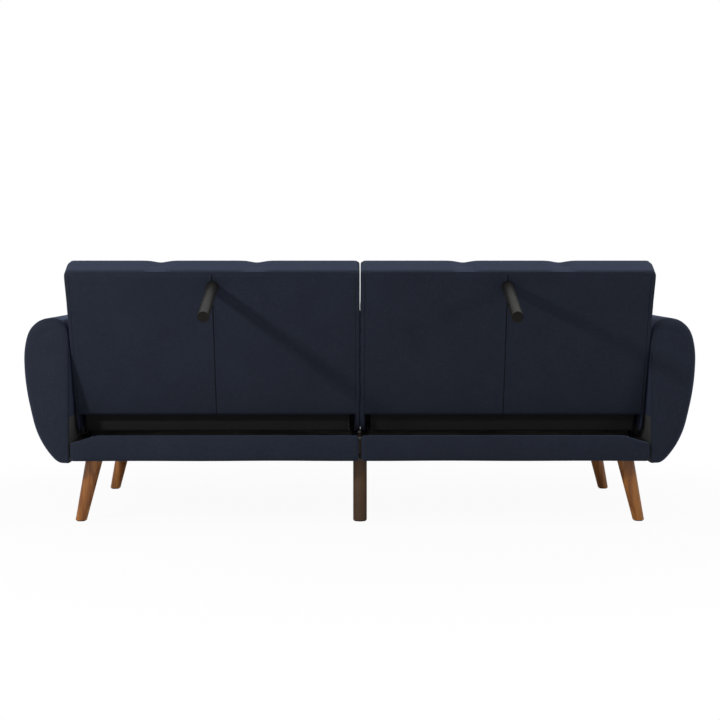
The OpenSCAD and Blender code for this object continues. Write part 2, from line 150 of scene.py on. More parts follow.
def finish(name, build, **fixed):
    material = bpy.data.materials.new(name)
    material.use_nodes = True
    tree = material.node_tree
    shader = next(n for n in tree.nodes if n.type == "BSDF_PRINCIPLED")
    for socket, value in fixed.items():
        shader.inputs[socket.replace("_", " ")].default_value = value
    start = Flow(tree)
    place = start.add("ShaderNodeTexCoord", output=3)  # in metres, on the piece itself
    facing = start.add("ShaderNodeTexCoord", output=1)  # the surface's outward direction
    for socket, value in build(place, facing).items():
        tree.links.new(value.socket, shader.inputs[socket])
    return material


# finishes


def flatPlaces(place, facing):  # two lengths along the surface, for whichever way it faces
    x, y, z = place.split()
    nx, ny, nz = [abs(n) for n in facing.split()]
    sideways = (nx - ny).step(-0.02, 0.02) * (nx - nz).step(-0.02, 0.02)
    level = (nz - ny).step(-0.02, 0.02) * (1 - sideways)
    across = x + sideways * (y - x)
    along = z + level * (y - z)
    return across, along


linen = {
    "thread": 1.5 * mm,
    "dark": linear(31, 34, 43),
    "light": linear(46, 51, 62),
    "slub": linear(62, 68, 80),
    "relief": 0.35 * mm,
}


def linenLook(place, facing):
    across, along = flatPlaces(place, facing)
    turn = pi / linen["thread"]
    crossing = (across * turn).wave() * (along * turn).wave()
    wide = place.noise(900, 2, 0.6, (0.06, 1, 1))
    tall = place.noise(900, 2, 0.6, (1, 1, 0.06))
    slubs = (wide + tall) * 0.5
    patches = place.noise(9, 3, 0.6)
    weave = crossing * 0.5 + 0.5
    depth = weave * 0.6 + slubs * 0.8
    shade = (weave * 0.35 + slubs * 0.9 + patches * 0.25 - 0.3).step(0.1, 0.9)
    flecks = slubs.step(0.58, 0.72) * 0.45
    colour = flecks.colours(shade.colours(linen["dark"], linen["light"]), linen["slub"])
    soft = patches.bump(1.2 * mm, 0.35)
    return {
        "Base Color": colour,
        "Roughness": 0.9 - 0.12 * weave,
        "Normal": depth.bump(linen["relief"], 0.55, soft),
    }


lining = {"dark": linear(20, 20, 21), "light": linear(36, 36, 37), "dimple": 2.2 * mm}


def liningLook(place, facing):
    across, along = flatPlaces(place, facing)
    turn = pi / lining["dimple"]
    dimples = ((across * turn).wave() * (along * turn).wave()).step(0.3, 0.9)
    fibres = place.noise(700, 4, 0.7)
    shade = fibres.step(0.3, 0.75) * (1 - 0.5 * dimples)
    return {
        "Base Color": shade.colours(lining["dark"], lining["light"]),
        "Roughness": 0.8 - 0.15 * dimples,
        "Normal": (fibres * 0.4 - dimples).bump(0.15 * mm, 0.5),
    }


legWood = {"pale": linear(172, 109, 42), "mid": linear(144, 83, 26), "grain": linear(90, 46, 12)}


def woodLook(colours, length, grainScale, gloss):
    def look(place, facing):
        stretch = [1.0, 1.0, 1.0]
        stretch[length] = 0.045
        warp = place.noise(6, 2, 0.5)
        grain = place.noise(grainScale, 5, 0.65, stretch)
        bands = place.noise(grainScale * 0.28, 3, 0.55, stretch)
        pores = place.noise(grainScale * 5, 2, 0.6, stretch).step(0.62, 0.74)
        rings = ((bands * 26 + warp * 5).wave() * 0.5 + 0.5) ** 1.6
        tone = (grain * 0.7 + rings * 0.45 - 0.1).step(0.15, 0.85)
        colour = tone.colours(colours["pale"], colours["mid"])
        colour = (pores * 0.6 + rings * 0.32).colours(colour, colours["grain"])
        return {
            "Base Color": colour,
            "Roughness": gloss + 0.14 * grain + 0.1 * pores,
            "Normal": (grain * 0.35 - pores * 0.6).bump(0.12 * mm, 0.4),
        }

    return look


# frame boards coloured near black: painted shade, so that even where the key lamp reaches them they read as the
# shade behind the rail slopes and under the backs
frameWoodPaintedShade = {"pale": linear(36, 32, 28), "mid": linear(29, 26, 23), "grain": linear(19, 17, 15)}
# mid rails coloured pale grey: painted light, so that they read brighter where they sit in the unlit cavity behind
# the backs
midRailWoodPaintedLight = {"pale": linear(134, 130, 126), "mid": linear(116, 113, 110), "grain": linear(84, 82, 80)}


ply = 3 * mm  # two of a board's layers


def plyLook(colours):
    def look(place, facing):
        found = woodLook(colours, 0, 120, 0.62)(place, facing)
        z = place.split()[2]
        plies = (z * (2 * pi / ply)).wave().step(-0.3, 0.3)
        upright = 1 - abs(facing.split()[2]).step(0.4, 0.6)
        found["Base Color"] = (plies * upright * 0.35).colours(found["Base Color"], colours["grain"])
        return found

    return look


brown = {"coat": linear(74, 52, 35), "worn": linear(96, 71, 48)}


def brownLook(place, facing):
    peel = place.noise(420, 2, 0.5)
    smears = place.noise(14, 4, 0.65)
    shade = (smears * 0.8 + peel * 0.3 - 0.1).step(0.2, 0.9)
    return {
        "Base Color": shade.colours(brown["coat"], brown["worn"]),
        "Roughness": 0.34 + 0.14 * smears + 0.06 * peel,
        "Normal": peel.bump(0.06 * mm, 0.35),
    }


black = {"coat": linear(17, 17, 18), "worn": linear(36, 35, 34)}


def blackLook(place, facing):
    peel = place.noise(500, 3, 0.6)
    scuffs = place.noise(60, 5, 0.7).step(0.6, 0.75)
    return {
        "Base Color": (scuffs * 0.5).colours(black["coat"], black["worn"]),
        "Roughness": 0.42 + 0.2 * peel - 0.1 * scuffs,
        "Normal": peel.bump(0.05 * mm, 0.4),
    }


tube = {"coat": linear(23, 22, 21), "worn": linear(34, 32, 30)}


def tubeLook(place, facing):
    peel = place.noise(420, 2, 0.5)
    smears = place.noise(18, 4, 0.65)
    shade = (smears * 0.8 + peel * 0.3 - 0.1).step(0.2, 0.9)
    return {
        "Base Color": shade.colours(tube["coat"], tube["worn"]),
        "Roughness": 0.36 + 0.14 * smears + 0.06 * peel,
        "Normal": peel.bump(0.05 * mm, 0.35),
    }


zinc = {"bright": linear(188, 188, 182), "dull": linear(142, 142, 138)}


def zincLook(place, facing):
    grain = place.noise(700, 3, 0.6)
    clouds = place.noise(45, 3, 0.6)
    return {
        "Base Color": clouds.step(0.3, 0.7).colours(zinc["bright"], zinc["dull"]),
        "Roughness": 0.3 + 0.15 * clouds + 0.1 * grain,
        "Normal": grain.bump(0.03 * mm, 0.4),
    }


plastic = {"new": linear(24, 24, 25), "worn": linear(42, 41, 40)}


def plasticLook(place, facing):
    grain = place.noise(1100, 2, 0.5)
    wear = place.noise(80, 4, 0.6).step(0.55, 0.75)
    return {
        "Base Color": wear.colours(plastic["new"], plastic["worn"]),
        "Roughness": 0.5 + 0.2 * grain,
        "Normal": grain.bump(0.05 * mm, 0.4),
    }


webbing = {"rib": 2.4 * mm, "pick": 1.2 * mm, "dark": linear(40, 40, 42), "light": linear(92, 90, 88)}


def webbingLook(place, facing):
    across, along = flatPlaces(place, facing)
    ribs = (across * (2 * pi / webbing["rib"])).wave() * (along * (2 * pi / webbing["pick"])).wave()
    fibres = place.noise(900, 3, 0.6)
    return {
        "Base Color": (fibres * 0.6 + ribs * 0.2).colours(webbing["dark"], webbing["light"]),
        "Roughness": 0.85 - 0.1 * ribs,
        "Normal": ribs.bump(0.3 * mm, 0.6),
    }


# seam colour: partly the thread and partly painted shade, darker than the cloth so the sewn line reads as a
# shadowed groove
thread = {"twist": 0.9 * mm, "dark": linear(13, 14, 19), "light": linear(30, 33, 42)}


def threadLook(place, facing):
    x, y, z = place.split()
    twist = ((x + y + z) * (2 * pi / thread["twist"])).wave()
    fuzz = place.noise(1500, 2, 0.5)
    return {
        "Base Color": (twist * 0.3 + fuzz * 0.4).colours(thread["dark"], thread["light"]),
        "Roughness": 0.75 - 0.1 * twist,
        "Normal": twist.bump(0.15 * mm, 0.6),
    }


sheen = {
    "Sheen_Weight": 0.18,
    "Sheen_Roughness": 0.4,
    "Sheen_Tint": (0.42, 0.56, 1.0, 1),
    "Specular_IOR_Level": 0.12,
    "Specular_Tint": (0.5, 0.63, 1.0, 1),
}
navyLinen = finish("navyLinen", linenLook, **sheen)
blackLining = finish("blackLining", liningLook, Sheen_Weight=0.15, Specular_IOR_Level=0.2)
honeyWood = finish("honeyWood", woodLook(legWood, 2, 95, 0.36), Coat_Weight=0.1, Coat_Roughness=0.25)
# the frame boards' near-black colour is painted shade
boardPaintedShade = finish("boardPaintedShade", plyLook(frameWoodPaintedShade), Specular_IOR_Level=0.15)
# the mid rails' pale grey colour is painted light
midRailPaintedLight = finish("midRailPaintedLight", plyLook(midRailWoodPaintedLight), Specular_IOR_Level=0.2)
brownCoat = finish("brownCoat", brownLook, Metallic=0.2, Specular_IOR_Level=0.35)
darkTube = finish("darkTube", tubeLook, Specular_IOR_Level=0.12)
blackCoat = finish("blackCoat", blackLook, Metallic=0.6)
zincPlate = finish("zincPlate", zincLook, Metallic=1.0)
glidePlastic = finish("glidePlastic", plasticLook)
elasticWebbing = finish("elasticWebbing", webbingLook, Specular_IOR_Level=0.2)
seamThreadAndPaintedShade = finish("seamThreadAndPaintedShade", threadLook, Specular_IOR_Level=0.1)
print("finishes made")


# mesh helpers


def arc(centre, radius, start, end, steps):
    angles = np.radians(np.linspace(start, end, steps))
    return [(centre[0] + radius * cos(a), centre[1] + radius * sin(a)) for a in angles]


def walk(points, count):  # count + 1 places spaced evenly along a line
    line = np.array(points, float)
    lengths = np.r_[0, np.cumsum(np.hypot(*np.diff(line, axis=0).T))]
    wanted = np.linspace(0, lengths[-1], count + 1)
    return np.c_[np.interp(wanted, lengths, line[:, 0]), np.interp(wanted, lengths, line[:, 1])]


def roundedSides(low, high, radii):  # four sides of a rounded rectangle, split at mid corner
    corners = [(low[0], low[1]), (high[0], low[1]), (high[0], high[1]), (low[0], high[1])]
    inward = [(1, 1), (-1, 1), (-1, -1), (1, -1)]
    arcs = []
    for i in range(4):
        r = max(radii[i], 0.2 * mm)
        centre = (corners[i][0] + inward[i][0] * r, corners[i][1] + inward[i][1] * r)
        arcs.append(arc(centre, r, 180 + 90 * i, 270 + 90 * i, 15))
    return [arcs[i][7:] + arcs[(i + 1) % 4][:8] for i in range(4)]


def coons(ring, across, up):  # fills a ring of 2 * (across + up) places with a grid
    assert len(ring) == 2 * (across + up)
    grid = np.zeros((across + 1, up + 1, 2))
    grid[:, 0] = ring[: across + 1]
    grid[across, :] = ring[across : across + up + 1]
    grid[:, up] = ring[across + up : 2 * across + up + 1][::-1]
    left = np.vstack([ring[2 * across + up :], ring[:1]])[::-1]
    grid[0, :] = left
    s = np.linspace(0, 1, across + 1)[:, None, None]
    t = np.linspace(0, 1, up + 1)[None, :, None]
    ruled = (1 - t) * grid[:, :1] + t * grid[:, -1:] + (1 - s) * grid[:1] + s * grid[-1:]
    corners = (1 - s) * (1 - t) * grid[0, 0] + s * (1 - t) * grid[-1, 0]
    corners = corners + (1 - s) * t * grid[0, -1] + s * t * grid[-1, -1]
    filled = ruled - corners
    filled[:, 0], filled[:, -1], filled[0], filled[-1] = grid[:, 0], grid[:, -1], grid[0], grid[-1]
    return filled


def softBlock(name, outline, span, cells, endRound, place, seams=()):
    # a closed block: outline(inset) gives its four sides, and span its two ends
    across, up, along = cells
    low, high = span
    turns = [radians(a) for a in np.linspace(0, 90, 5)[:-1]]
    ends = [(endRound * (1 - cos(a)), endRound * (1 - sin(a))) for a in turns]
    middle = set(np.linspace(low + endRound, high - endRound, along + 1).round(6))
    for seam in seams:
        middle = {t for t in middle if abs(t - seam) > 9 * mm}
        middle |= {seam + d * mm for d in (-7, -3, 0, 3, 7)}  # closer rows beside a sewn line
    rows = [(low + d, inset) for d, inset in ends]
    rows += [(t, 0) for t in sorted(middle)]
    rows += [(high - d, inset) for d, inset in reversed(ends)]
    counts = (across, up, across, up)

    def ring(inset):
        return np.vstack([walk(side, n)[:-1] for side, n in zip(outline(inset), counts)])

    around = 2 * (across + up)
    points = [place(u, v, t) for t, inset in rows for u, v in ring(inset)]
    faces = []
    for r in range(len(rows) - 1):
        for i in range(around):
            j = (i + 1) % around
            a, b = r * around, (r + 1) * around
            faces.append((a + i, a + j, b + j, b + i))
    for r in (0, len(rows) - 1):
        t, inset = rows[r]
        grid = coons(ring(inset), across, up)
        index = np.zeros((across + 1, up + 1), int)
        base = r * around
        index[:, 0] = base + np.arange(across + 1)
        index[across, :] = base + across + np.arange(up + 1)
        index[:, up] = base + across + up + np.arange(across, -1, -1)
        index[0, 1:] = base + 2 * across + up + np.arange(up - 1, -1, -1)
        for i in range(1, across):
            for j in range(1, up):
                index[i, j] = len(points)
                points.append(place(grid[i, j][0], grid[i, j][1], t))
        for i in range(across):
            for j in range(up):
                faces.append((index[i, j], index[i + 1, j], index[i + 1, j + 1], index[i, j + 1]))
    return meshPiece(name, points, faces)


def meshPiece(name, points, faces):
    mesh = bpy.data.meshes.new(name)
    mesh.from_pydata([tuple(p) for p in points], [], faces)
    made = bmesh.new()
    made.from_mesh(mesh)
    bmesh.ops.recalc_face_normals(made, faces=made.faces)
    made.to_mesh(mesh)
    made.free()
    mesh.shade_smooth()
    piece = bpy.data.objects.new(name, mesh)
    bpy.context.scene.collection.objects.link(piece)
    return piece


def readPoints(mesh):
    flat = np.zeros(len(mesh.vertices) * 3, np.float32)
    mesh.vertices.foreach_get("co", flat)
    return flat.reshape(-1, 3).astype(float)


def writePoints(mesh, points):
    mesh.vertices.foreach_set("co", np.asarray(points, np.float32).ravel())
    mesh.update()


def readNormals(mesh):
    flat = np.zeros(len(mesh.vertices) * 3, np.float32)
    mesh.vertex_normals.foreach_get("vector", flat)
    return flat.reshape(-1, 3).astype(float)


def applied(piece):  # bakes the modifiers into the mesh
    shown = piece.evaluated_get(bpy.context.evaluated_depsgraph_get())
    mesh = bpy.data.meshes.new_from_object(shown)
    old = piece.data
    piece.modifiers.clear()
    piece.data = mesh
    mesh.name = piece.name
    bpy.data.meshes.remove(old)


def smoothed(piece):
    piece.modifiers.new("smooth", "SUBSURF").levels = 1
    applied(piece)
    piece.data.shade_smooth()


def inflate(piece, held, pressure=4.0, spare=0.015, limit=24 * mm):
    # cloth blown up from inside; held is 1 where the cover is stapled or sewn down
    start = readPoints(piece.data)
    group = piece.vertex_groups.new(name="held")
    for level in np.unique(held[held > 0].round(2)):
        chosen = np.nonzero(held.round(2) == level)[0]
        group.add([int(i) for i in chosen], float(level), "REPLACE")
    cloth = piece.modifiers.new("cover", "CLOTH")
    cloth.point_cache.frame_end = 20
    settings = cloth.settings
    settings.quality = 5
    settings.mass = 0.3
    settings.tension_stiffness = settings.compression_stiffness = 12
    settings.shear_stiffness = 6
    settings.bending_stiffness = 0.5
    settings.use_pressure = True
    settings.uniform_pressure_force = pressure
    settings.vertex_group_mass = "held"
    settings.shrink_min = -spare
    settings.effector_weights.gravity = 0
    scene = bpy.context.scene
    for step in range(1, 21):
        scene.frame_set(step)
    shown = piece.evaluated_get(bpy.context.evaluated_depsgraph_get())
    moved = readPoints(shown.data) - start
    far = np.linalg.norm(moved, axis=1, keepdims=True)
    print(f"{piece.name} swelled by up to {far.max() / mm:.1f} mm")
    piece.modifiers.clear()
    piece.vertex_groups.clear()
    scene.frame_set(1)
    writePoints(piece.data, start + moved * np.minimum(1, limit / np.maximum(far, 1e-9)))


def ripples(points, size, seed):  # smooth seeded unevenness, about -1 to 1
    turns = np.random.default_rng(seed)
    total = np.zeros(len(points))
    for _ in range(10):
        direction = turns.normal(size=3)
        direction *= 2 * pi / (size * turns.uniform(0.7, 1.8) * np.linalg.norm(direction))
        total += np.sin(points @ direction + turns.uniform(0, 2 * pi))
    return total / 4.5


def paint(piece, material, *others):
    piece.data.materials.clear()
    for m in (material, *others):
        piece.data.materials.append(m)


def mirrored(piece, name):
    mesh = piece.data.copy()
    mesh.name = name
    mesh.transform(Matrix.Diagonal((-1, 1, 1, 1)))
    mesh.flip_normals()
    twin = bpy.data.objects.new(name, mesh)
    twin.matrix_world = piece.matrix_world
    bpy.context.scene.collection.objects.link(twin)
    return twin


def sides(build, name):  # the left piece from build and its mirror image
    left = build(name + "_left")
    return left, mirrored(left, name + "_right")


def pull(where, depth, width):  # how far a sewn line draws the cover in
    return depth * np.exp(-((where / width) ** 2))


# seat pads

seat = {
    "round": 12 * mm,
    "crown": 11 * mm,
    "rise": 2 * mm,
    "corners": (10 * mm, 10 * mm, 26 * mm, 36 * mm),
    "seamAt": (0.355, 0.69),
    "sewn": 5 * mm,
    "wide": 5 * mm,
    "stapled": 14 * mm,
    "tuckedIn": 30 * mm,
    "unevenness": 0.5 * mm,
}


def seatPad(name):
    low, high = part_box("seat_cover_left")
    width = high.x - low.x
    seams = [low.x + width * share for share in seat["seamAt"]]
    crown = seat["crown"]

    def outline(inset):
        bottom = (low.y + 4 * mm + inset, low.z + inset)
        top = (high.y - 1 * mm - inset, high.z - crown + seat["rise"] - inset)
        return roundedSides(bottom, top, [r - inset for r in seat["corners"]])

    span = (low.x + 0.5 * mm, high.x - 0.5 * mm)
    pad = softBlock(name, outline, span, (46, 12, 74), seat["round"], lambda u, v, t: (t, u, v), seams)
    points = readPoints(pad.data)
    x, y, z = points.T
    free = (z > low.z + seat["tuckedIn"]) & ((z > high.z - crown - 6 * mm) | (y < low.y + 12 * mm))
    held = np.where(free, 0.0, 1.0)
    for seam in seams:
        held[abs(x - seam) < 1 * mm] = 1.0
    held[(x < low.x + seat["stapled"]) | (x > high.x - seat["stapled"])] = 1.0
    rear = y > high.y - seat["tuckedIn"]
    held[rear] = np.maximum(held[rear], 0.9)
    inflate(pad, held)
    smoothed(pad)
    points, normals = readPoints(pad.data), readNormals(pad.data)
    x, y, z = points.T
    soft = np.clip((z - low.z - 20 * mm) / (60 * mm), 0, 1)
    for seam in seams:
        tuck = pull(x - seam, seat["sewn"], seat["wide"])
        points -= normals * (tuck * soft)[:, None]
    points += normals * (ripples(points, 0.12, 3) * seat["unevenness"] * soft)[:, None]
    points[:, 0] = np.clip(points[:, 0], low.x, high.x)
    points[:, 1] = np.clip(points[:, 1], low.y - 3 * mm, high.y)
    points[:, 2] = np.clip(points[:, 2], low.z, high.z + 6 * mm)
    writePoints(pad.data, points)
    paint(pad, navyLinen)
    return pad


for pad in sides(seatPad, "seatPad"):
    side = pad.name.split("_")[1]
    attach(pad, "base")
    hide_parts(f"seat_cover_{side}", f"seat_foam_{side}")
print("seat pads made")


# backs

back = {
    "round": 11 * mm,
    "crown": 9 * mm,
    "corners": (38 * mm, 34 * mm, 8 * mm, 34 * mm),
    "stapled": 12 * mm,
    "freeFrom": 45 * mm,
    "freeTo": 40 * mm,
    "unevenness": 0.5 * mm,
    "seamAt": (0.355, 0.69),
    "sewn": 5 * mm,
    "wide": 5 * mm,
    "dip": 6 * mm,
    "dipWide": 26 * mm,
    "lip": 10 * mm,
    "taper": 7 * mm,
    "rearShare": 0.3,
    "outerCorner": 15 * mm,
    "innerCorner": 8 * mm,
    "ring": 2.3 * mm,
    "ringEvery": 60 * mm,
    "ringReach": 325 * mm,
    "nearer": 2.6 * mm,
    "wider": 1.5 * mm,
    "flare": 2 * mm,
    "frontFlare": 9 * mm,
    "flareFrom": 360 * mm,
}
backLow, backHigh = localBox("back_cover_left")
recessLow, recessHigh = localBox("back_lining_left")
panelLow, panelHigh = localBox("back_panel_left")
railLow, railHigh = localBox("back_top_rail_left")
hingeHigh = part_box("hinge_base_plates")[1]


def cutAway(piece, boxes):  # leaves room in a soft piece for the hard ones inside it
    points, faces = [], []
    for low, high in boxes:
        first = len(points)
        across, deep, up = zip(low, high)
        points += [(x, y, z) for z in up for y in deep for x in across]
        quads = [(0, 2, 3, 1), (4, 5, 7, 6), (0, 1, 5, 4), (2, 6, 7, 3), (0, 4, 6, 2), (1, 3, 7, 5)]
        faces += [tuple(first + i for i in quad) for quad in quads]
    cutter = meshPiece("cutter", points, faces)
    cutter.matrix_world = piece.matrix_world
    bpy.context.view_layer.update()
    cut = piece.modifiers.new("room", "BOOLEAN")
    cut.operation, cut.solver, cut.object, cut.use_self = "DIFFERENCE", "EXACT", cutter, True
    applied(piece)
    bpy.data.objects.remove(cutter)
    creases(piece, 40)


def creases(piece, angle):  # sharp edges where faces meet at more than angle
    made = bmesh.new()
    made.from_mesh(piece.data)
    for edge in made.edges:
        edge.smooth = len(edge.link_faces) == 2 and edge.calc_face_angle(0) < radians(angle)
    for face in made.faces:
        face.smooth = True
    made.to_mesh(piece.data)
    made.free()


def taperIn(x, z):  # the outer side draws in towards the bottom
    low, high = backLow, backHigh
    share = np.clip((high.z * 0.75 - z) / (high.z * 0.75 - low.z), 0, 1)
    return x - back["taper"] * share * np.clip((x - high.x + 0.2) / 0.2, 0, 1)


def roundCorners(x, z):  # rounds the two upper corners as they are seen from behind
    low, high = backLow, backHigh
    for edge, way, radius in ((high.x, 1, back["outerCorner"]), (low.x, -1, back["innerCorner"])):
        a = np.maximum(radius - way * (edge - x), 0)
        b = np.maximum(radius - (high.z - z), 0)
        drawn = np.maximum(a, b) / np.maximum(np.hypot(a, b), 1e-9)
        cornered = (a > 0) & (b > 0)
        x = np.where(cornered, x + way * a * (drawn - 1), x)
        z = np.where(cornered, z + b * (drawn - 1), z)
    return x, z


def meet(piece, way):  # the two halves' soft sides nearly touch along rings about the hinge axis
    points = readPoints(piece.data)
    x, y, z = points.T
    far = np.hypot(y, z)
    near = np.clip((11 * mm - abs(x)) / (5 * mm), 0, 1) * np.clip((far - 20 * mm) / (20 * mm), 0, 1)
    rings = back["ring"] * np.sin(2 * pi * far / back["ringEvery"])
    rings *= np.clip((92 * mm - y) / (14 * mm), 0, 1)  # none along the rear edge, which is seen
    rings *= np.clip((back["ringReach"] - far) / (30 * mm), 0, 1)
    points[:, 0] += near * (rings - back["nearer"] * way)
    writePoints(piece.data, points)


def backPad(name):
    low, high = backLow, backHigh
    width = high.x - low.x
    seams = [low.x + width * share for share in back["seamAt"]]
    crown = back["crown"]

    def section(inset):
        bottom = (low.y + crown - 2 * mm + inset, low.z + 1 * mm + inset)
        top = (high.y - inset, high.z - inset)
        return roundedSides(bottom, top, [max(r - inset, 0.5 * mm) for r in back["corners"]])

    def share(y):  # how much of the end rounding a place takes, less towards the rear
        forward = min(1, max(0, (high.y - y) / (70 * mm)))
        return back["rearShare"] + (1 - back["rearShare"]) * forward * (2 - forward)

    def outline(inset):
        mixed = []
        for full, drawn in zip(section(0), section(inset)):
            parts = [(a, b, share(a[0])) for a, b in zip(full, drawn)]
            mixed.append([(a[0] + (b[0] - a[0]) * k, a[1] + (b[1] - a[1]) * k) for a, b, k in parts])
        return mixed

    span = (low.x + 0.3 * mm, high.x - 0.1 * mm)

    def place(u, v, t):
        if t - span[0] < back["round"]:
            t = span[0] + (t - span[0]) * share(u)
        elif span[1] - t < back["round"]:
            t = span[1] - (span[1] - t) * share(u)
        return t, u, v

    pad = softBlock(name, outline, span, (14, 46, 74), back["round"], place, seams)
    pad.matrix_world = backPlace
    points = readPoints(pad.data)
    x, y, z = points.T
    front = y < low.y + crown + 8 * mm
    free = front & (z > low.z + back["freeFrom"]) & (z < high.z - back["freeTo"])
    held = np.where(free, 0.0, 1.0)
    for seam in seams:
        held[abs(x - seam) < 1 * mm] = 1.0
    held[(x < low.x + back["stapled"]) | (x > high.x - back["stapled"])] = 1.0
    inflate(pad, held)
    smoothed(pad)
    points, normals = readPoints(pad.data), readNormals(pad.data)
    x, y, z = points.T
    soft = np.clip((high.y - 4 * mm - y) / (60 * mm), 0, 1) * np.clip((z - low.z) / (60 * mm), 0, 1)
    onTop = np.clip((z - high.z + 16 * mm) / (12 * mm), 0, 1)
    for seam in seams:
        tuck = pull(x - seam, back["sewn"], back["wide"]) * (1 - onTop) * soft
        points -= normals * tuck[:, None]
        points[:, 2] -= pull(x - seam, back["dip"], back["dipWide"]) * onTop
    points += normals * (ripples(points, 0.12, 5) * back["unevenness"] * soft * (1 - onTop))[:, None]
    points[:, 0] = taperIn(np.clip(points[:, 0], low.x, high.x), points[:, 2])
    points[:, 1] = np.clip(points[:, 1], low.y - 5 * mm, high.y)
    points[:, 2] = np.clip(points[:, 2], low.z, high.z + 2 * mm)
    wooden = (y > railLow.y - 3 * mm) & (y < railHigh.y + 0.8 * mm) & (z > high.z - 20 * mm)
    wooden &= (x > railLow.x - 3 * mm) & (x < railHigh.x + 3 * mm)
    points[:, 2] = np.where(wooden, np.maximum(z, railHigh.z + 0.7 * mm), z)
    points[:, 0], points[:, 2] = roundCorners(x, z)
    outer = np.clip((x - high.x + 60 * mm) / (60 * mm), 0, 1)
    upper = np.clip((z - back["flareFrom"]) / (70 * mm), 0, 1)
    forward = np.clip((high.y - y) / (100 * mm), 0, 1)
    points[:, 0] += outer * (back["wider"] + upper * (back["flare"] + back["frontFlare"] * forward))
    writePoints(pad.data, points)
    lip, far = back["lip"], 20 * mm  # far is how much further than the pad the cuts reach
    middle = (panelLow.x + panelHigh.x) / 2
    slot = [recessHigh.x + 0.3 * mm, hingeHigh.x + 6.5 * mm]
    slots = [slot, [2 * middle - slot[1], 2 * middle - slot[0]]]
    rooms = [((low.x + lip, recessLow.y, low.z - far), (high.x - lip, high.y + far, panelLow.z - 0.3 * mm))]
    rooms += [((panelLow.x - 0.2 * mm, panelLow.y - 0.5 * mm, panelLow.z - 0.4 * mm),
               (panelHigh.x + 0.2 * mm, high.y + far, panelHigh.z + 0.2 * mm))]
    rooms += [((a, -50 * mm, low.z - far), (b, recessLow.y + 1 * mm, 20 * mm)) for a, b in slots]
    cutAway(pad, rooms)
    paint(pad, navyLinen)
    return pad


for pad in sides(backPad, "backPad"):
    side = pad.name.split("_")[1]
    meet(pad, 1 if side == "left" else -1)
    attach(pad, f"back_{side}")
    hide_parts(f"back_cover_{side}", f"back_foam_{side}")
print("backs made")


# flat cloth on the backs


def clothPanel(name, low, high, axes, cells, thick, rise, fine=()):
    # a thin cloth between two corners; axes are its width, height and outward directions
    a, b, out = axes
    wide, tall = cells
    points, faces = [], []
    across = sorted(set(np.linspace(low[a], high[a], wide + 1).round(6)) | set(np.round(fine, 6)))
    upward = sorted(set(np.linspace(low[b], high[b], tall + 1).round(6)))
    spans = (high[a] - low[a], high[b] - low[b])
    for layer in (0, 1):
        for v in upward:
            for u in across:
                edge = min(u - low[a], high[a] - u, v - low[b], high[b] - v)
                fold = thick * (1 - min(1, edge / (2 * thick))) ** 2
                level = rise((u - low[a]) / spans[0], (v - low[b]) / spans[1], u, v)
                place = [0, 0, 0]
                place[a], place[b] = u, v
                place[out[0]] = out[1] + out[2] * (level + (thick - 0.5 * fold if layer else 0.5 * fold))
                points.append(place)
    n, m = len(across), len(upward)
    for layer in (0, 1):
        for j in range(m - 1):
            for i in range(n - 1):
                k = layer * n * m + j * n + i
                faces.append((k, k + 1, k + n + 1, k + n))
    loop = [i for i in range(n)] + [j * n + n - 1 for j in range(1, m)]
    loop += [(m - 1) * n + i for i in range(n - 2, -1, -1)] + [j * n for j in range(m - 2, 0, -1)]
    for k, first in enumerate(loop):
        second = loop[(k + 1) % len(loop)]
        faces.append((first, second, second + n * m, first + n * m))
    return meshPiece(name, points, faces)


rearCloth = {
    "seam": 1.5 * mm,
    "seamWide": 1.7 * mm,
    "ridge": 1.3 * mm,
    "ridgeAt": 4.2 * mm,
    "ridgeWide": 2.4 * mm,
    "restsBelow": 210 * mm,
    "thick": 1.4 * mm,
}


def rearPanel(name):
    low, high = panelLow, panelHigh
    middle = (low.x + high.x) / 2

    def rise(s, t, u, v):
        seam = u - middle
        clear = (v - rearCloth["restsBelow"]) / (50 * mm)  # flat where it rests on the rail
        clear = min(1, max(0.1, clear))
        ridge = np.exp(-(((abs(seam) - rearCloth["ridgeAt"]) / rearCloth["ridgeWide"]) ** 2))
        ridge *= clear * rearCloth["ridge"]
        groove = rearCloth["seam"] * np.exp(-((seam / rearCloth["seamWide"]) ** 2))
        sway = 0.25 * mm * sin(9 * s + 2 * t) * sin(7 * t + 1.3)
        return ridge - groove + sway * min(1, 12 * s, 12 * (1 - s), 12 * t, 12 * (1 - t))

    out = (1, high.y - rearCloth["thick"] - 0.3 * mm, 1)
    steps = [0, 0.7, 1.4, 2.2, 3.2, 4.4, 5.8, 7.4]
    fine = [middle + way * step * mm for step in steps for way in (-1, 1)]
    panel = clothPanel(name, low, high, (0, 2, out), (290, 60), rearCloth["thick"], rise, fine)
    panel.matrix_world = backPlace
    paint(panel, navyLinen, seamThreadAndPaintedShade)
    # faces along the middle seam get the thread finish, whose dark colour is partly painted shade
    for face in panel.data.polygons:
        if abs(face.center.x - middle) < 1.5 * mm:
            face.material_index = 1
    return panel


for panel in sides(rearPanel, "rearPanel"):
    side = panel.name.split("_")[1]
    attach(panel, f"back_{side}")
    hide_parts(f"back_panel_{side}")


liningCloth = {"over": 3.7 * mm, "under": 1.6 * mm, "thick": 0.8 * mm}


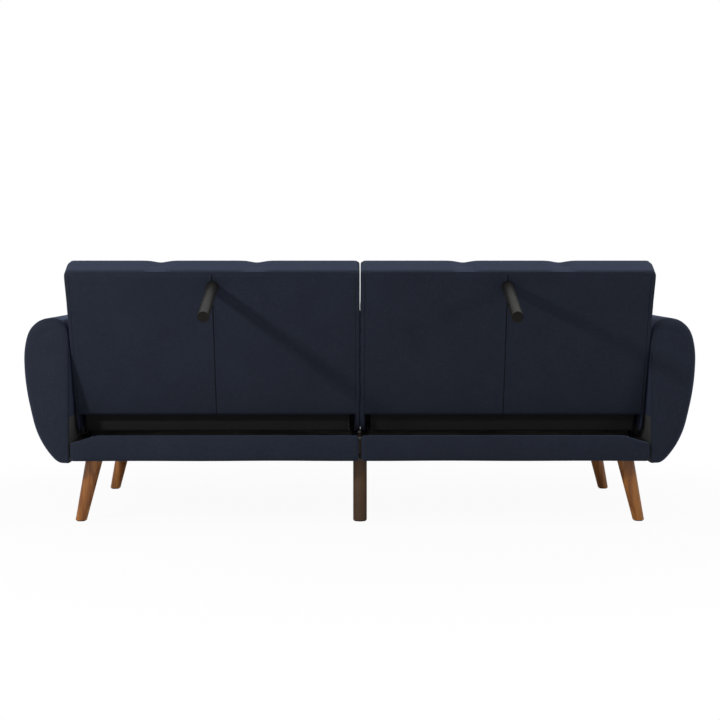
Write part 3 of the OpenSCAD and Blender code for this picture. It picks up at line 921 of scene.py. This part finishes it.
def recessLining(name):  # reaches a little past both ends and below the lower edge of the rail
    over = liningCloth["over"]
    low = Vector((recessLow.x - over, recessLow.y, recessLow.z - liningCloth["under"]))
    high = Vector((recessHigh.x + over, recessHigh.y, recessHigh.z))

    def rise(s, t, u, v):
        return 0.3 * mm * sin(23 * s + 3 * t) * sin(pi * t) + 0.2 * mm * sin(51 * s)

    out = (1, low.y + 0.4 * mm, 1)
    piece = clothPanel(name, low, high, (0, 2, out), (120, 10), liningCloth["thick"], rise)
    piece.matrix_world = backPlace
    paint(piece, blackLining)
    return piece


for piece in sides(recessLining, "recessLining"):
    side = piece.name.split("_")[1]
    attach(piece, f"back_{side}")
    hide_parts(f"back_lining_{side}")
print("flat cloths made")


# rail covers

railPad = {
    "inner": 3.5 * mm,
    "round": 9 * mm,
    "rearCorners": (2 * mm, 11 * mm, 9 * mm, 2 * mm),
    "frontCorners": (11 * mm, 2 * mm, 2 * mm, 9 * mm),
    "belly": 3 * mm,
    "slope": 90 * mm,
    "drop": 20 * mm,
    "sag": 3 * mm,
    "wave": 1.1 * mm,
}


def railCover(name, node, rear):
    low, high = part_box(node)
    out = 1 if rear else -1
    inside = low.y if rear else high.y
    outside = high.y if rear else low.y

    def outline(inset):
        first, second = sorted([inside, outside])
        radii = railPad["rearCorners"] if rear else railPad["frontCorners"]
        ends = (first + inset, low.z + inset), (second - inset, high.z - inset)
        return roundedSides(*ends, [r - min(inset, 8 * mm) for r in radii])

    span = (railPad["inner"] + 0.3 * mm, high.x)
    piece = softBlock(name, outline, span, (5, 9, 110), railPad["round"], lambda u, v, t: (t, u, v))
    points = readPoints(piece.data)
    x, y, z = points.T
    middle = (low.z + high.z) / 2
    if rear:
        slope = np.clip((x - high.x + railPad["slope"]) / railPad["slope"], 0, 1)
        slope = slope * slope * (3 - 2 * slope)
        z -= railPad["drop"] * slope * np.clip((z - middle) / (high.z - middle), 0, 1)
    swell = np.clip((y - inside) * out / abs(outside - inside), 0, 1) ** 2
    points[:, 1] += out * swell * (1 - ((z - middle) / (high.z - middle)) ** 2) * railPad["belly"]
    wave = ripples(points * (1, 0, 0), 0.35, 11 + rear) * railPad["wave"]
    points[:, 2] = z - (railPad["sag"] + wave) * (z < middle)
    writePoints(piece.data, points)
    smoothed(piece)
    paint(piece, navyLinen)
    return piece


for node, name in (("front_rail_covers", "frontRailCover"), ("rear_rail_covers", "rearRailCover")):
    pair = sides(lambda n: railCover(n, node, name.startswith("rear")), name)
    for piece in pair:
        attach(piece, "base")
        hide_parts(node)
print("rail covers made")


# arms

armShape = {
    "corner": 5 * mm,
    "widest": 122 * mm,
    "spread": 3.7 * mm,
    "sag": 4 * mm,
    "upward": ((238 * mm, 16.9), (74.6 * mm, 73.1)),
    "downward": ((736 * mm, -17.1), (250 * mm, -27), (38 * mm, -45.9)),
    "inside": 50 * mm,
    "round": 24 * mm,
    "innerShare": 0.25,
    "crown": 4 * mm,
    "unevenness": 0.35 * mm,
    "linedUpTo": 60 * mm,
}


def armShare(x, low):  # how much of the rounding a place takes, less by the seat
    rise = min(1, max(0, (x - low.x) / (60 * mm)))
    return armShape["innerShare"] + (1 - armShape["innerShare"]) * rise * (2 - rise)


def bends(start, facing, arcs):  # arcs that run on smoothly: their places and outward directions
    x, z = start
    found = []
    for radius, turn in arcs:
        centre = (x - radius * cos(radians(facing)), z - radius * sin(radians(facing)))
        for angle in np.radians(np.linspace(facing, facing + turn, 17)[1:]):
            across, up = cos(angle), sin(angle)
            found.append((centre[0] + radius * across, centre[1] + radius * up, across, up))
        x, z = found[-1][:2]
        facing += turn
    return found


def armOutline(low, high, inset):  # from the inner bottom corner, under and round the outside
    width, floor, top = high.x - low.x + armShape["spread"], low.z - armShape["sag"], high.z
    widest = (width, top - armShape["widest"])
    small, inside = armShape["corner"], armShape["inside"]
    down = bends(widest, 0, armShape["downward"])[::-1]
    up = bends(widest, 0, armShape["upward"])
    up = [(x, min(z, top), a, b) for x, z, a, b in up]
    shoulder = inside * 0.999
    corner = (small + small * cos(radians(225)), floor + small + small * sin(radians(225)))
    under = bends(corner, 225, ((small, 45),))
    under += down[:9]
    outside = down[8:] + [(*widest, 1, 0)] + up[:25]
    over = up[24:] + bends((shoulder, top), 90, ((inside, 45),))
    inner = bends((shoulder, top), 90, ((inside, 90),))[8:]
    inner += bends((0, floor + small), 180, ((small, 45),))

    def pulledIn(u, v, a, b):
        d = inset * armShare(low.x + u, low)
        return low.x + 0.2 * mm + u - a * d, v - b * d

    return [[pulledIn(*p) for p in side] for side in (under, outside, over, inner)]


def armPad(name):
    low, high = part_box("arm_cover_left")

    def outline(inset):
        return armOutline(low, high, inset)

    first, last = low.y + 0.4 * mm, high.y - 0.4 * mm

    def place(u, v, t):
        share = armShare(u, low)
        if t - first < armShape["round"]:
            t = first + (t - first) * share
        elif last - t < armShape["round"]:
            t = last - (last - t) * share
        return u, t, v

    pad = softBlock(name, outline, (first, last), (12, 38, 66), armShape["round"], place)
    points = readPoints(pad.data)
    x, y, z = points.T
    held = np.where((x < low.x + 6 * mm) | (z < low.z + 8 * mm), 1.0, 0.0)
    inflate(pad, held, pressure=1.0, spare=0.001, limit=1.5 * mm)
    smoothed(pad)
    points, normals = readPoints(pad.data), readNormals(pad.data)
    x, y, z = points.T
    middle = (low.z + high.z) / 2
    full = np.clip(1 - ((z - middle) / (high.z - middle)) ** 2, 0, 1)
    full = full * np.clip((x - low.x) / (45 * mm), 0, 1)
    points[:, 1] += normals[:, 1] * full * armShape["crown"]
    away = np.clip((x - low.x - 8 * mm) / (30 * mm), 0, 1)
    points += normals * (ripples(points, 0.3, 7) * armShape["unevenness"] * away)[:, None]
    points[:, 0] = np.clip(points[:, 0], low.x + 0.2 * mm, high.x + 8 * mm)
    points[:, 1] = np.clip(points[:, 1], low.y - 8 * mm, high.y + 8 * mm)
    points[:, 2] = np.clip(points[:, 2], low.z - 6 * mm, high.z + 4 * mm)
    writePoints(pad.data, points)
    paint(pad, navyLinen, blackLining)
    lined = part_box("seat_cover_left")[0].z + armShape["linedUpTo"]  # the seat hides this part
    for face in pad.data.polygons:
        if face.normal.x < -0.7 and face.center.z < lined:
            face.material_index = 1
    return pad


for pad in sides(armPad, "arm"):
    side = pad.name.split("_")[1]
    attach(pad, "base")
    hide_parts(f"arm_cover_{side}", f"arm_foam_{side}")
print("arms made")


# cloth under the base


dustCloth = {"inner": 6.5 * mm, "sag": 1.2 * mm, "creases": 0.25 * mm, "thick": 0.8 * mm}


def dustCover(name):
    low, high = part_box("dust_covers")

    def rise(s, t, u, v):
        sag = dustCloth["sag"] * sin(pi * s) * sin(pi * t)
        return sag + dustCloth["creases"] * sin(40 * s + 9 * t) * sin(pi * t)

    out = (2, high.z, -1)
    start = Vector((dustCloth["inner"], low.y, low.z))
    piece = clothPanel(name, start, high, (0, 1, out), (110, 90), dustCloth["thick"], rise)
    paint(piece, blackLining)
    return piece


for piece in sides(dustCover, "dustCover"):
    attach(piece, "base")
    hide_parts("dust_covers")
print("dust covers made")


# hard pieces keep their shape

hardFinishes = {
    "leg_wood": honeyWood,
    "frame_wood": boardPaintedShade,
    "brown_metal": brownCoat,
    "hinge_steel": blackCoat,
    "zinc_steel": zincPlate,
    "black_plastic": glidePlastic,
    "webbing": elasticWebbing,
    "foam": elasticWebbing,
    "navy_fabric": navyLinen,
    "black_lining": blackLining,
}
for part in frame["record"]["subparts"]:
    paint(nodes[part["node"]], hardFinishes[part["material_slot"]])
# the mid rails take the pale board colour, which is painted light
ownFinishes = {"support_leg_left": darkTube, "support_leg_right": darkTube, "mid_rails": midRailPaintedLight}
for name, look in ownFinishes.items():
    paint(nodes[name], look)
print("hard pieces finished")


# floor, light and camera

scene = bpy.context.scene
studio = {"key": 34, "fill": 7, "top": 30, "air": 0.33, "white": (0.95, 0.05), "fades": (0.9, 1.7)}
shot = {"place": (0.016, 4.612, 0.811), "down": 1.924, "aside": 0.206, "lens": 71.14, "lift": -0.0691}


def floorAndAir():
    mesh = bpy.data.meshes.new("floor")
    far = 30.0
    mesh.from_pydata([(-far, -far, 0), (far, -far, 0), (far, far, 0), (-far, far, 0)], [], [(0, 1, 2, 3)])
    floor = bpy.data.objects.new("floor", mesh)
    scene.collection.objects.link(floor)
    material = bpy.data.materials.new("paleFloor")
    material.use_nodes = True
    tree = material.node_tree
    tree.nodes.clear()
    start = Flow(tree)
    seen = start.add("ShaderNodeLightPath", output=0)
    place = start.add("ShaderNodeTexCoord", output=3)
    away = place.vector("LENGTH", place.vector("MULTIPLY", place, (0.8, 1, 1)), output=1)
    least, more = studio["white"]  # how white the floor is near the sofa bed, and how much more far away
    paleness = least + more * away.step(*studio["fades"])
    paper = start.add("ShaderNodeBsdfDiffuse", sockets={"Color": linear(236, 236, 236)})
    glow = start.add("ShaderNodeEmission", sockets={"Color": (1, 1, 1, 1), "Strength": 1.0})
    mixed = start.add("ShaderNodeMixShader", sockets={0: seen * paleness, 1: paper, 2: glow})
    start.add("ShaderNodeOutputMaterial", sockets={0: mixed})
    mesh.materials.append(material)
    world = bpy.data.worlds.new("studioAir")
    scene.world = world
    world.use_nodes = True
    tree = world.node_tree
    tree.nodes.clear()
    start = Flow(tree)
    path = start.add("ShaderNodeLightPath")
    outputs = path.socket.node.outputs
    straight = Flow(tree, outputs["Is Camera Ray"])
    mirror = Flow(tree, outputs["Is Glossy Ray"])
    through = Flow(tree, outputs["Is Transmission Ray"])
    white = straight.math("MAXIMUM", straight, mirror.math("MAXIMUM", mirror, through))
    strength = white * (1 - studio["air"]) + studio["air"]
    sky = start.add("ShaderNodeBackground", sockets={"Color": (1, 1, 1, 1), "Strength": strength})
    start.add("ShaderNodeOutputWorld", sockets={0: sky})


def lamp(name, power, place, aim, size):
    light = bpy.data.lights.new(name, "AREA")
    light.energy, light.shape, light.size = power, "DISK", size
    holder = bpy.data.objects.new(name, light)
    holder.location = place
    holder.rotation_euler = (Vector(aim) - Vector(place)).to_track_quat("-Z", "Y").to_euler()
    scene.collection.objects.link(holder)


floorAndAir()
lamp("keyLamp", studio["key"], (2.12, 1.79, 1.66), (0.2, 0.2, 0.45), 0.22)
lamp("fillLamp", studio["fill"], (-2.5, 1.6, 1.35), (-0.2, 0.2, 0.45), 0.4)
lamp("topLamp", studio["top"], (-1.2, 0.5, 3.2), (-0.1, 0, 0.4), 2.0)

view = bpy.data.cameras.new("camera")
view.sensor_width, view.lens = 36, shot["lens"]
view.shift_y = shot["lift"]
view.clip_end = 100
camera = bpy.data.objects.new("camera", view)
camera.location = shot["place"]
camera.rotation_euler = (radians(90 - shot["down"]), 0, pi - radians(shot["aside"]))
scene.collection.objects.link(camera)
scene.camera = camera
scene.view_settings.view_transform = "Standard"
